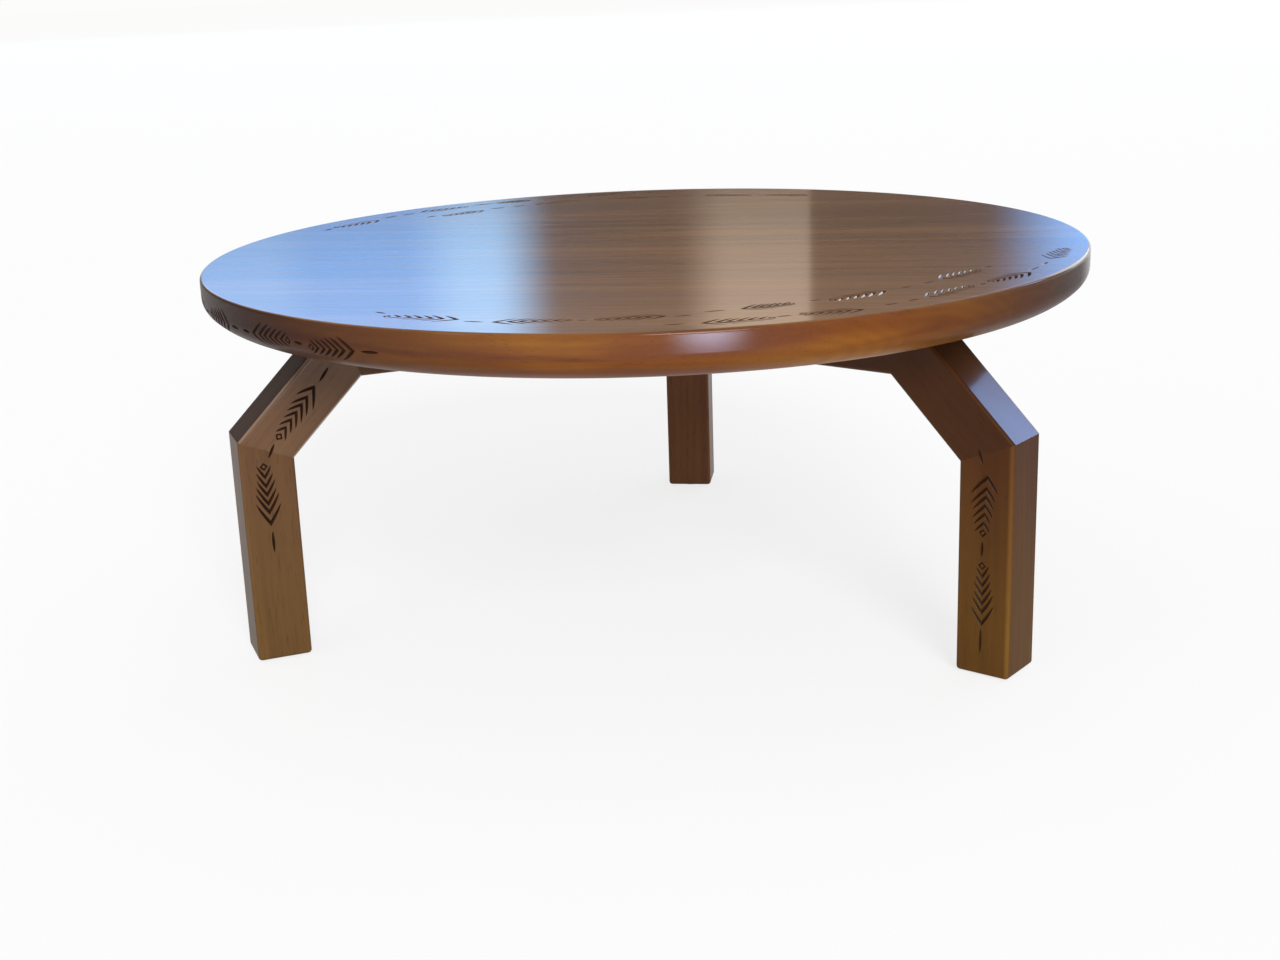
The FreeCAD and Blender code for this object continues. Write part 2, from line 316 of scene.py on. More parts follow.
def rim_profile():
    """The rim from the edge of the flat top round to the underside: the way along it, radius and
    height of each station, and the outward direction there."""
    quarter, bend = math.pi / 2, CURVE_MEETING_ANGLE
    tight_centre = TOP_RADIUS - RIM_CURVE_RADIUS
    wide_centre = tight_centre - (UNDER_CURVE_RADIUS - RIM_CURVE_RADIUS) * math.cos(bend)
    wide_height = UNDERSIDE + UNDER_CURVE_RADIUS
    tight_height = wide_height - (UNDER_CURVE_RADIUS - RIM_CURVE_RADIUS) * math.sin(bend)
    arcs = (
        (TOP_RADIUS - TOP_EDGE_RADIUS, TOP_HEIGHT - TOP_EDGE_RADIUS, TOP_EDGE_RADIUS, quarter, 0.0,
         TOP_EDGE_STEPS),
        (tight_centre, tight_height, RIM_CURVE_RADIUS, 0.0, -bend, RIM_CURVE_STEPS),
        (wide_centre, wide_height, UNDER_CURVE_RADIUS, -bend, -quarter, UNDER_CURVE_STEPS),
    )
    rows = []
    for centre, middle, size, first, last, steps in arcs:
        turn = np.linspace(first, last, steps + 1)
        rows.append(np.stack([centre + size * np.cos(turn), middle + size * np.sin(turn), turn]))
    edge, tight, wide = rows
    upright = np.linspace(edge[1, -1], tight[1, 0], UPRIGHT_STEPS + 2)[1:-1]
    side = np.stack([np.full(UPRIGHT_STEPS, TOP_RADIUS), upright, np.zeros(UPRIGHT_STEPS)])
    radius, height, angle = np.concatenate([edge, side, tight, wide[:, 1:]], axis=1)
    way = np.concatenate([[0], np.cumsum(np.hypot(np.diff(radius), np.diff(height)))])
    return way, radius, height, angle, (tight_centre, tight_height, wide_centre, wide_height)


RIM = rim_profile()


def top_surface_depth(points):
    """How far each point lies under the ideal skin of the top, and the skin's outward direction."""
    tight_r, tight_z, wide_r, wide_z = RIM[-1]
    distance = np.hypot(points[:, 0], points[:, 1])
    r, z = distance / MM, points[:, 2] / MM
    radial = points[:, :2] / np.maximum(distance, TINY)[:, None]
    depth, nr, nz = np.zeros(len(r)), np.zeros(len(r)), np.zeros(len(r))
    flat = (r <= TOP_RADIUS - TOP_EDGE_RADIUS + TOUCH) & (z > TOP_HEIGHT - CUT_REACH)
    depth[flat], nz[flat] = TOP_HEIGHT - z[flat], 1
    under = (z < UNDERSIDE + TOUCH) & (r < wide_r + TOUCH)
    nz[under] = -1
    curved = ~flat & (z <= tight_z)
    outer = z - tight_z > -(r - tight_r)
    regions = (
        (~flat & (z > TOP_HEIGHT - TOP_EDGE_RADIUS), TOP_RADIUS - TOP_EDGE_RADIUS,
         TOP_HEIGHT - TOP_EDGE_RADIUS, TOP_EDGE_RADIUS),
        (curved & outer, tight_r, tight_z, RIM_CURVE_RADIUS),
        (curved & ~outer & ~under, wide_r, wide_z, UNDER_CURVE_RADIUS),
    )
    upright = ~flat & (z <= TOP_HEIGHT - TOP_EDGE_RADIUS) & (z > tight_z)
    depth[upright], nr[upright] = TOP_RADIUS - r[upright], 1
    for where, centre, middle, size in regions:
        away = np.hypot(r[where] - centre, z[where] - middle)
        depth[where] = size - away
        nr[where] = (r[where] - centre) / np.maximum(away, TINY)
        nz[where] = (z[where] - middle) / np.maximum(away, TINY)
    return depth, np.column_stack([radial * nr[:, None], nz])


def welded(verts, faces):
    """A BMesh of points, in millimetres, and faces, in which the points that meet are one."""
    mesh = bpy.data.meshes.new("welded")
    mesh.from_pydata((verts * MM).tolist(), [], faces)
    part = bmesh.new()
    part.from_mesh(mesh)
    bpy.data.meshes.remove(mesh)
    bmesh.ops.remove_doubles(part, verts=part.verts, dist=WELD_DISTANCE)
    return part


def finished_mesh(name, part):
    bmesh.ops.recalc_face_normals(part, faces=part.faces)
    mesh = bpy.data.meshes.new(name)
    part.to_mesh(mesh)
    part.free()
    return mesh


def carved_top():
    """The whole top as one closed skin in a BMesh: the flat face and the rim are filled by
    triangles that follow the cuts, and each cut point is pushed in along the skin's direction."""
    theta = np.arange(ROUND_STEPS) * 2 * math.pi / ROUND_STEPS
    circle = np.stack([np.cos(theta), np.sin(theta)], 1)
    flat_radius = TOP_RADIUS - TOP_EDGE_RADIUS
    flat_points = np.concatenate([circle * flat_radius, circle * (flat_radius - FLAT_RING_INSET)])
    flat_edges = np.concatenate([ring_edges(0, ROUND_STEPS), ring_edges(ROUND_STEPS, ROUND_STEPS)])
    top_cuts = cuts_of(FRONT_BANDS, on_top) + cuts_of(FAR_BANDS, on_top, FAR_DASH_WIDTH)
    points, depth, flat_faces = cut_mesh(flat_points, flat_edges, top_cuts)
    flat = np.column_stack([points, TOP_HEIGHT - depth])

    way, radius, height, angle, _ = RIM
    length = 2 * math.pi * TOP_RADIUS
    columns = np.linspace(0, length, ROUND_STEPS + 1)
    grid = np.stack(np.meshgrid(columns, way, indexing="ij"), 2).reshape(-1, 2)

    def on_rim(azimuth, down):
        return math.radians(azimuth % 360) * TOP_RADIUS, down

    rim_cuts = cuts_of(RIM_BAND, on_rim)
    border = np.any((grid == 0) | (grid == (columns[-1], way[-1])), axis=1)
    grid = grid[far_from_cuts(grid, rim_cuts) | border]
    points, depth, rim_faces = cut_mesh(grid, np.zeros((0, 2), int), rim_cuts)
    a = points[:, 0] / TOP_RADIUS
    facing = np.interp(points[:, 1], way, angle)
    r = np.interp(points[:, 1], way, radius) - depth * np.cos(facing)
    z = np.interp(points[:, 1], way, height) - depth * np.sin(facing)
    rim = np.column_stack([r * np.cos(a), r * np.sin(a), z])

    under = np.column_stack([circle * radius[-1], np.full(ROUND_STEPS, height[-1])])
    verts = np.concatenate([flat, rim, under])
    underside = list(range(len(verts) - 1, len(verts) - 1 - ROUND_STEPS, -1))
    skin = welded(verts, flat_faces.tolist() + (rim_faces + len(flat)).tolist() + [underside])
    bmesh.ops.recalc_face_normals(skin, faces=skin.faces)
    return skin


def values_of(items, field, width=1, kind=float):
    """One field of all the vertices, loops or polygons of a mesh."""
    values = np.zeros(len(items) * width, kind)
    items.foreach_get(field, values)
    return values.reshape(-1, width) if width > 1 else values


def finish_skin(piece, skin_of):
    """Smooth normals from the ideal skin wherever a face lies on it, flat ones in the cuts and on
    sawn faces, and the share of the full depth at each point, which the wood's colour reads."""
    mesh = piece.data
    depth, outward = skin_of(values_of(mesh.vertices, "co", 3))
    ideal = outward[values_of(mesh.loops, "vertex_index", kind=int)]
    corners = values_of(mesh.polygons, "loop_total", kind=int)
    flat = np.repeat(values_of(mesh.polygons, "normal", 3), corners, axis=0)
    on_skin = (flat * ideal).sum(1) > ON_SKIN_COSINE
    normals = np.where(on_skin[:, None], ideal, flat)
    mesh.polygons.foreach_set("use_smooth", np.ones(len(mesh.polygons), bool))
    mesh.normals_split_custom_set(normals.tolist())
    full = DEPTH_PER_HALF_WIDTH * ARM_WIDTH / 2
    attribute = mesh.attributes.new("cut_depth", "FLOAT", "POINT")
    attribute.data.foreach_set("value", np.clip(depth / full, 0, 1).astype(np.float32))


def place_piece(name, mesh, material, node):
    """A carved piece that stands in for one node of the frame."""
    piece = bpy.data.objects.new(name, mesh)
    bpy.context.scene.collection.objects.link(piece)
    mesh.materials.append(material)
    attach(piece, "root")
    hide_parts(node)
    return piece


def saw(part, place, facing, keep_behind):
    """Saws a closed part in two at a plane, keeps one side and closes it."""
    bmesh.ops.bisect_plane(part, geom=part.verts[:] + part.edges[:] + part.faces[:], dist=SAW_TOLERANCE,
                           plane_co=place, plane_no=facing,
                           clear_inner=not keep_behind, clear_outer=keep_behind)
    bmesh.ops.holes_fill(part, edges=[e for e in part.edges if e.is_boundary], sides=0)


def board_from(skin, number):
    """The slice of the top between two glue lines, closed by its two sawn faces."""
    low = (-TOP_RADIUS + (number - 1) * BOARD_WIDTH) * MM
    high = low + BOARD_WIDTH * MM
    part = skin.copy()
    for at, keep_behind in ((low, False), (high, True)):
        if abs(at) < (TOP_RADIUS - TOUCH) * MM:
            saw(part, (0, at, 0), (0, 1, 0), keep_behind)
    return finished_mesh("carved_board_%d" % number, part)


def member_section(inset):
    """The square section with rounded arrises, drawn in by the inset: points (a, b) from the
    member's middle line, a outwards in the leg's plane and b across it."""
    half, radius = STOCK / 2 - inset, ARRIS_RADIUS - inset
    turn = np.linspace(0, math.pi / 2, ARRIS_STEPS + 1)
    points = []
    for corner, signs in enumerate(((1, 1), (-1, 1), (-1, -1), (1, -1))):
        t = turn + corner * math.pi / 2
        centre = np.array(signs) * (half - radius)
        points.append(centre + radius * np.stack([np.cos(t), np.sin(t)], 1))
    return np.concatenate(points)


def leg_directions(leg):
    """The directions outwards from the table's axis, across the leg and upwards."""
    azimuth = math.radians(LEG_AZIMUTHS[leg])
    cosine, sine = math.cos(azimuth), math.sin(azimuth)
    return np.array([[cosine, sine, 0.0], [-sine, cosine, 0.0], [0.0, 0.0, 1.0]])


def carved_member(name, side, band, start, end, foot):
    """A straight member between two slanting ends. Every point of its section is carried along the
    member, the carved face is filled round its cuts, and the ends are sawn off at their mitres.
    start and end are the (distance, height) of the member's inner and outer corner. A foot adds
    rows that draw in, instead of the first mitre."""
    out, across, upward = leg_directions(name.split("_")[0])
    start, end = np.array(start, float), np.array(end, float)
    along = end.mean(0) - start.mean(0)
    along /= np.linalg.norm(along)
    outward = (start[1] - start[0]) - ((start[1] - start[0]) @ along) * along
    outward /= np.linalg.norm(outward)
    middle = start.mean(0)

    reach = np.linalg.norm(end.mean(0) - middle)
    rows = []
    if foot:
        for t in np.linspace(0, math.pi / 2, FOOT_STEPS + 1)[:-1]:
            section = member_section(FOOT_EDGE_RADIUS * (1 - math.sin(t)))
            rows.append((section, FOOT_EDGE_RADIUS * -math.cos(t)))
    section = member_section(0.0)
    rows += [(section, 0.0 if foot else -SAW_ALLOWANCE), (section, reach + SAW_ALLOWANCE)]
    count = len(section)
    verts = np.concatenate([
        np.outer(middle[0] + outward[0] * s[:, 0] + along[0] * t, out)
        + np.outer(middle[1] + outward[1] * s[:, 0] + along[1] * t, upward)
        + np.outer(s[:, 1], across) for s, t in rows])
    quarter = count // 4
    carved_segment = quarter - 1 if side > 0 else 3 * quarter - 1
    faces = []
    for row in range(len(rows) - 1):
        for k in range(count):
            if row == len(rows) - 2 and k == carved_segment:
                continue
            n = (k + 1) % count
            faces.append([row * count + k, row * count + n, (row + 1) * count + n, (row + 1) * count + k])
    faces.append(list(range(count - 1, -1, -1)))
    faces.append(list(range((len(rows) - 1) * count, len(rows) * count)))

    half = STOCK / 2 - ARRIS_RADIUS
    low, high = rows[-2][1], rows[-1][1]
    corners = np.array([middle + outward * a + along * t
                        for a, t in ((-half, low), (half, low), (half, high), (-half, high))])
    points, depth, fill = cut_mesh(corners, ring_edges(0, 4), cuts_of(band, lambda r, z: (r, z)))
    face = (np.outer(points[:, 0], out) + np.outer(points[:, 1], upward)
            + np.outer(side * (STOCK / 2 - depth), across))
    part = welded(np.concatenate([verts, face]), faces + (fill + len(verts)).tolist())
    for line, last in ((start, False), (end, True)):
        if foot and not last:
            continue
        slope = line[1] - line[0]
        facing = np.array([-slope[1], slope[0]])
        facing *= np.sign(facing @ along)
        plane = facing[0] * out + facing[1] * upward
        saw(part, (line[0][0] * out + line[0][1] * upward) * MM, plane, keep_behind=last)

    def skin_of(co):
        co = co / MM
        flat = np.stack([co @ out, co[:, 2]], 1) - middle
        a, b, t = flat @ outward, co @ across, flat @ along
        near_a, near_b = np.clip(a, -half, half), np.clip(b, -half, half)
        corner = (np.abs(a - near_a) > CORNER_TOUCH) & (np.abs(b - near_b) > CORNER_TOUCH)
        da = np.where(corner, a - near_a, np.where(np.abs(a) > np.abs(b), np.sign(a), 0))
        db = np.where(corner, b - near_b, np.where(np.abs(a) > np.abs(b), 0, np.sign(b)))
        size = np.maximum(np.hypot(da, db), TINY)
        down = np.clip(-t / FOOT_EDGE_RADIUS, 0, 1) if foot else np.zeros(len(t))
        level = np.sqrt(1 - down ** 2)
        direction = (np.outer(da / size * level, outward[0] * out + outward[1] * upward)
                     - np.outer(down, upward) + np.outer(db / size * level, across))
        depth = np.where(corner, 0, STOCK / 2 - np.maximum(np.abs(a), np.abs(b)))
        return np.where(down > 0, 0, depth), direction

    return finished_mesh("carved_" + name, part), skin_of


# Materials.

class Tree:
    """Builds the nodes of a material, a lamp or the world. A value is a number, a tuple or another
    node's output."""

    def __init__(self, owner):
        owner.use_nodes = True
        self.nodes, self.links = owner.node_tree.nodes, owner.node_tree.links

    def fill(self, node, values):
        """Links an output to each socket named, or sets the socket to a colour or a number."""
        for name, value in values.items():
            socket = node.inputs[name]
            if isinstance(value, bpy.types.NodeSocket):
                self.links.new(value, socket)
            else:
                socket.default_value = (*value, 1.0) if socket.type == "RGBA" else value

    def add(self, kind, values=None, **settings):
        """A new node with some settings and with values in some of its sockets."""
        node = self.nodes.new("ShaderNode" + kind)
        for name, setting in settings.items():
            setattr(node, name, setting)
        self.fill(node, values or {})
        return node

    def math(self, kind, a, b=None, clamp=False):
        values = {0: a} if b is None else {0: a, 1: b}
        return self.add("Math", values, operation=kind, use_clamp=clamp).outputs[0]

    def plus(self, a, b, clamp=False):
        return self.math("ADD", a, b, clamp)

    def minus(self, a, b):
        return self.math("SUBTRACT", a, b)

    def times(self, a, b, clamp=False):
        return self.math("MULTIPLY", a, b, clamp)

    def between(self, value, low, high, out_low=0.0, out_high=1.0, curve="LINEAR"):
        """The value carried from the range low to high into the range out_low to out_high."""
        values = {"Value": value, "From Min": low, "From Max": high, "To Min": out_low, "To Max": out_high}
        return self.add("MapRange", values, interpolation_type=curve).outputs["Result"]

    def mix(self, factor, a, b, blend="MIX"):
        values = {"Factor": factor, 6: a, 7: b}
        return self.add("Mix", values, data_type="RGBA", blend_type=blend).outputs[2]

    def mapped(self, vector, scale, location=(0.0, 0.0, 0.0)):
        return self.add("Mapping", {"Vector": vector, "Scale": scale, "Location": location}).outputs["Vector"]

    def noise(self, vector, detail, rough=0.5, distortion=0.0, scale=1.0):
        values = {"Vector": vector, "Scale": scale, "Detail": detail, "Roughness": rough,
                  "Distortion": distortion}
        return self.add("TexNoise", values).outputs["Fac"]

    def axes(self, vector):
        return self.add("SeparateXYZ", {0: vector}).outputs


def rim_lacquer(tree, x, height, cut):
    """The share of lacquer on a board: full on the flat top except in its left cuts, and on the rim
    only where it is polished. x is a share of the top's radius."""
    on_rim = tree.times(tree.between(x, *LEFT_GLOSS), tree.between(x, *RIGHT_GLOSS))
    level = tree.between(tree.times(on_rim, tree.between(height, *UPRIGHT_RIM)), 0.0, 1.0, *RIM_LACQUER)
    level = tree.plus(level, tree.between(x, *END_GLOSS), True)
    below_edge = tree.between(height, *BELOW_EDGE)
    wet = tree.plus(tree.minus(1.0, below_edge), tree.times(below_edge, level))
    dry_edge = tree.times(tree.between(height, *OFF_TOP), tree.between(x, *DRY_EDGE))
    dry_cuts = tree.times(cut, tree.between(x, *DRY_CUTS))
    return tree.times(tree.times(wet, tree.minus(1.0, dry_edge)), tree.minus(1.0, dry_cuts))


def wood(name, axes, centre, face, edge, lacquer, seed, board=False, figure=1.0, mottle=0.5,
         arris_wear_and_highlight=None, cut_shade=0.88, outer_shade_and_lacquer=None):
    """Lacquered wood with its grain along the first of its three axes. The pattern is solid: growth
    rings round a pith that lies beside the piece, bent by slow noise, fine fibres and pores drawn
    out along the grain, painted shade in the cuts, and a thin lacquer on top. face and edge are two
    palettes of dark, middle, light and golden tones; a board has the second on its rim, where painted
    shade darkens it towards its ends, a leg at its foot. lacquer is its weight, roughness and IOR.
    rubbed holds how much lighter a leg's arrises are, partly wear and partly a painted highlight, how
    far from the side the lighter band begins and is full, in millimetres, and perhaps its colour.
    outer_shade_and_lacquer darkens a leg's outer side with painted shade: its tint and the share of its
    lacquer that is left."""
    material = bpy.data.materials.new(name)
    tree = Tree(material)
    between, times, plus, minus, mix = tree.between, tree.times, tree.plus, tree.minus, tree.mix
    place = tree.add("TexCoord").outputs["Object"]
    turned = {"Vector": place, "Location": centre, "Rotation": Matrix(axes).transposed().to_euler()}
    base = tree.add("Mapping", turned, vector_type="TEXTURE").outputs["Vector"]
    x, y, height = tree.axes(place)
    _, beside, outwards = tree.axes(base)

    def grain(along, across, detail, rough=0.5, shift=0.0):
        moved = (shift + seed, seed * 1.7, seed * 0.6 + shift)
        return tree.noise(tree.mapped(base, (along, across, across), moved), detail, rough)

    if board:
        share_x, share_y = [times(at, 1 / (TOP_RADIUS * MM)) for at in (x, y)]
        on_edge = between(height, *BELOW_TOP)
        # Painted shade on the rim: its tones pass into a deep dark colour towards both ends, behind the front
        # only half way.
        rim_lit_along = times(between(share_x, *LEFT_RIM_SHADE), between(share_x, *RIGHT_RIM_SHADE))
        share = tree.math("MAXIMUM", between(share_y, *RIM_SHADE_FROM_FRONT), rim_lit_along)
        edge = [mix(share, RIM_SHADE_COLOUR, tone) for tone in edge]
    else:
        on_edge = between(height, *FOOT_TONE_HEIGHTS, 1.0, 0.0)
    dark, middle, light, gold = [mix(on_edge, f, e) for f, e in zip(face, edge)]

    bend = grain(1.6, 5.0, 3.0)
    wander = grain(0.7, 2.2, 2.0, shift=4.0)
    pith_y = plus(beside, 0.055 * math.sin(seed * 2.3))
    pith_z = plus(outwards, 0.05 + 0.03 * math.sin(seed * 4.1))
    ring = tree.math("SQRT", plus(times(pith_y, pith_y), times(pith_z, pith_z)))
    ring = plus(plus(ring, times(bend, 0.045)), times(wander, 0.05))
    bands = between(tree.math("SINE", times(ring, RING_RATE)), -1.0, 1.0)
    fibre = grain(7.0, 260.0, 4.0, 0.65)
    streak = grain(1.8, 46.0, 4.0, 0.6, 9.0)
    cloud = grain(2.6, 9.0, 3.0, 0.55, 2.0)
    pores = between(grain(38.0, 900.0, 1.0, shift=5.0), 0.64, 0.72)
    if board:
        off_edge = minus(1.0, on_edge)
        flowing = tree.noise(tree.mapped(place, (2.4, 3.0, 34.0)), 2.0, 0.45, 0.7)
        streak = plus(times(streak, off_edge), times(flowing, on_edge))
        patches = tree.noise(tree.mapped(place, (1.6, 1.6, 7.0)), 2.0, 0.5, 0.4)
        # Golden patches on the rim: partly the wood's figure, partly a painted sheen.
        for golden_x, half in GOLDEN_FIGURE_AND_SHEEN:
            away = tree.math("ABSOLUTE", minus(x, golden_x))
            patches = plus(patches, between(away, 0.3 * half, half, 0.16, 0.0))
        patches = minus(patches, 0.06)
        wander = plus(times(wander, off_edge), times(patches, on_edge))

    soft = 0.0 if board else LEG_SOFTNESS
    colour = mix(between(streak, 0.32 - soft, 0.68 + soft), dark, middle)
    colour = mix(between(cloud, 0.42 - soft / 2, 0.72, 0.0, mottle), colour, light)
    golden = times(between(wander, 0.42, 0.66), between(streak, 0.35, 0.6), True)
    colour = mix(times(golden, figure, True), colour, gold)
    colour = mix(times(bands, 0.22), colour, dark)
    colour = mix(between(fibre, 0.35, 0.75, 0.0, 0.25), colour, middle)
    colour = mix(times(pores, 0.35), colour, PORE_COLOUR)
    if board:
        near = between(tree.math("ABSOLUTE", beside), *GLUE_LINE)
        colour = mix(times(near, between(on_edge, 0.0, 1.0, 1.0, 0.1)), colour, PORE_COLOUR)
    else:
        from_middle = tree.math("MINIMUM", tree.math("ABSOLUTE", beside), tree.math("ABSOLUTE", outwards))
        # Lighter arrises: partly wear, partly a painted highlight.
        wear, begins, full, *pale = arris_wear_and_highlight
        corner = between(from_middle, (STOCK / 2 - begins) * MM, (STOCK / 2 - full) * MM)
        worn_and_lit = between(cloud, 0.4, 0.6, 0.25 * wear, wear)
        bare = pale[0] if pale else mix(1.0, gold, (1.2, 1.2, 1.2), "MULTIPLY")
        colour = mix(times(corner, worn_and_lit), colour, bare)
    if outer_shade_and_lacquer:
        tint, lacquer_left = outer_shade_and_lacquer
        outside = between(outwards, (STOCK / 2 - 0.8) * MM, (STOCK / 2 - 0.1) * MM)
        # Painted shade on the leg's outer side.
        colour = mix(outside, colour, mix(1.0, colour, tint, "MULTIPLY"))
    cut = between(tree.add("Attribute", attribute_name="cut_depth").outputs["Fac"], 0.02, 0.2)
    # Painted shade in the cuts: they darken towards a near black.
    colour = mix(times(cut, cut_shade), colour, CUT_SHADE_COLOUR)

    weight, coat_rough, coat_ior = lacquer
    if board:
        wet = times(rim_lacquer(tree, share_x, height, cut), weight)
    else:
        wet = between(cut, 0.0, 1.0, weight, 0.2 * weight)
    if outer_shade_and_lacquer:
        wet = times(wet, between(outside, 0.0, 1.0, 1.0, lacquer_left))
    relief = minus(plus(fibre, times(streak, 0.6)), times(pores, 0.8))
    bump = tree.add("Bump", {"Strength": 0.12, "Distance": 0.0004, "Height": relief})
    rough = plus(between(fibre, 0.3, 0.7, 0.34, 0.44), times(cut, 0.2))
    tree.fill(tree.nodes["Principled BSDF"], {
        "Base Color": colour, "Roughness": rough, "Specular IOR Level": 0.05, "Normal": bump.outputs[0],
        "Coat Weight": wet, "Coat Roughness": coat_rough, "Coat IOR": coat_ior})
    return material


# Dark, middle, light and golden tones.
TOP_TONES = ((0.092, 0.038, 0.014), (0.148, 0.064, 0.023), (0.195, 0.087, 0.031), (0.228, 0.106, 0.034))
RIM_TONES = ((0.112, 0.031, 0.010), (0.185, 0.062, 0.011), (0.235, 0.086, 0.011), (0.30, 0.122, 0.012))
LEG_TONES = {
    "left": ((0.066, 0.028, 0.012), (0.102, 0.047, 0.019), (0.138, 0.066, 0.027), (0.160, 0.080, 0.030)),
    "right": ((0.044, 0.014, 0.005), (0.070, 0.024, 0.007), (0.099, 0.038, 0.010), (0.125, 0.052, 0.012)),
    "rear": ((0.100, 0.038, 0.016), (0.155, 0.062, 0.026), (0.205, 0.088, 0.037), (0.24, 0.112, 0.044)),
}
FOOT_TONES = {
    "left": ((0.070, 0.032, 0.010), (0.104, 0.050, 0.015), (0.135, 0.067, 0.020), (0.165, 0.084, 0.023)),
    "right": ((0.065, 0.026, 0.006), (0.100, 0.044, 0.008), (0.138, 0.065, 0.011), (0.172, 0.086, 0.014)),
    "rear": ((0.100, 0.041, 0.017), (0.155, 0.065, 0.027), (0.200, 0.088, 0.037), (0.235, 0.110, 0.043)),
}

PORE_COLOUR = (0.012, 0.006, 0.003)
# The colour of the painted shade in the cuts.
CUT_SHADE_COLOUR = (0.016, 0.007, 0.004)
# How fast the growth rings follow each other, in radians per metre, how much less streaky the legs
# are than the top, and the heights between which a foot's tones pass into its leg's.
RING_RATE = 620.0
LEG_SOFTNESS = 0.13
FOOT_TONE_HEIGHTS = (0.06, 0.25)
# In these rows, a place to the right or the rear is a share of the top's radius, a height is in
# metres, and the last two of four numbers are the values at the two places.
# Where the rim's tones begin below the flat top, and how, behind the front, the painted shade on the rim's
# ends lessens to half.
BELOW_TOP = ((TOP_HEIGHT - 0.15) * MM, (TOP_HEIGHT - 1.6) * MM)
RIM_SHADE_FROM_FRONT = (-0.30, 0.25, 0.0, 0.5)
# Painted shade on the rim: its dark colour, and where along the table, from the middle to its ends, the rim
# passes into it.
RIM_SHADE_COLOUR = (0.016, 0.009, 0.009)
LEFT_RIM_SHADE = (-0.70, -0.04, 0.10, 1.0)
RIGHT_RIM_SHADE = (0.54, 0.93, 1.0, 0.12)
# Where the rim is polished: near its middle, where it stands upright, and at its right end. Its
# lacquer elsewhere and there.
LEFT_GLOSS = (-0.60, -0.10)
RIGHT_GLOSS = (0.33, 0.50, 1.0, 0.0)
UPRIGHT_RIM = (0.422, 0.432)
RIM_LACQUER = (0.05, 1.0)
END_GLOSS = (0.955, 0.995, 0.0, 0.7)
BELOW_EDGE = ((TOP_HEIGHT - 1.1 * TOP_EDGE_RADIUS) * MM, (TOP_HEIGHT - 0.8 * TOP_EDGE_RADIUS) * MM, 1.0, 0.0)
# Below the flat top, and the part of its edge at the left that stays without lacquer.
OFF_TOP = ((TOP_HEIGHT - 1.0) * MM, (TOP_HEIGHT - 0.4) * MM, 1.0, 0.0)
DRY_EDGE = (-0.64, -0.40, 0.9, 0.0)
# The left part of the top, where the lacquer doesn't fill the cuts.
DRY_CUTS = (-0.10, 0.15, 0.85, 0.0)
# The thin dark line along a board's sides.
GLUE_LINE = ((BOARD_WIDTH / 2 - 0.9) * MM, (BOARD_WIDTH / 2 - 0.2) * MM, 0.0, 0.4)
# Where along the rim its golden patches are strongest, partly the wood's figure and partly a painted sheen
# where the rim faces the light, and half of each place, in metres.
GOLDEN_FIGURE_AND_SHEEN = ((-0.01, 0.07), (0.30, 0.16))
# The weight, roughness and IOR of the top's lacquer, and the roughness and IOR of the legs'.
TOP_LACQUER = (1.0, 0.08, 1.26)
LEG_LACQUER = (0.14, 1.32)
# How strongly the lacquer shows on a member, and how dark the painted shade in the cuts of a leg is.
MEMBER_COATS = {"rail": 0.3, "strut": 0.6, "post": 0.1, "right_strut": 0.25}
# Members drawn lighter or darker than the rest of their leg, by a factor for each channel; the left strut's
# lighter, bluer tone is partly a painted sheen.
MEMBER_TONES = {"left_strut": (1.35, 1.52, 1.75), "right_strut": (0.86, 0.86, 0.82),
                "left_post": (1.08, 1.16, 1.28)}
CUT_SHADES = {"left": 0.92, "right": 0.75, "rear": 0.9}
# How much lighter each member's arrises are, how far from the side the lighter band begins and is full, in
# millimetres, and perhaps its colour: partly wear and partly a painted highlight, and on the left strut a
# pale painted highlight line.
ARRIS_WEAR_AND_HIGHLIGHTS = {
    "left_strut": (0.9, 3.6, 2.0, (0.42, 0.33, 0.27)), "left_post": (0.15, 4.5, 2.0),
    "right_post": (0.4, 6.0, 2.5), "right_strut": (0.2, 4.0, 1.8),
}
USUAL_ARRIS_WEAR_AND_HIGHLIGHT = (0.2, 4.0, 1.8)
# Outer sides: painted shade as a tint of their colour, on the left strut dark and bluish for shade and a dark
# painted reflection, and how much of the member's lacquer they have.
OUTER_SIDE_SHADE_AND_LACQUER = {
    "left_strut": ((0.30, 0.28, 0.42), 0.25), "left_post": ((0.80, 0.76, 0.75), 0.6),
    "right_strut": ((1.0, 1.0, 1.0), 2.5), "right_post": ((0.80, 0.76, 0.62), 0.5),
}


def board_wood(number):
    """Wood of one board of the top, each a little lighter or darker than the next."""
    centre_y = (-TOP_RADIUS + (number - 0.5) * BOARD_WIDTH) * MM
    tone = 1.0 + 0.05 * math.sin(number * 2.7)
    face = tuple(tuple(c * tone for c in t) for t in TOP_TONES)
    return wood("top_wood_%d" % number, ((1, 0, 0), (0, 1, 0), (0, 0, 1)), (0.0, centre_y, UNDERSIDE * MM),
                face, RIM_TONES, TOP_LACQUER, 3.1 * number, board=True)


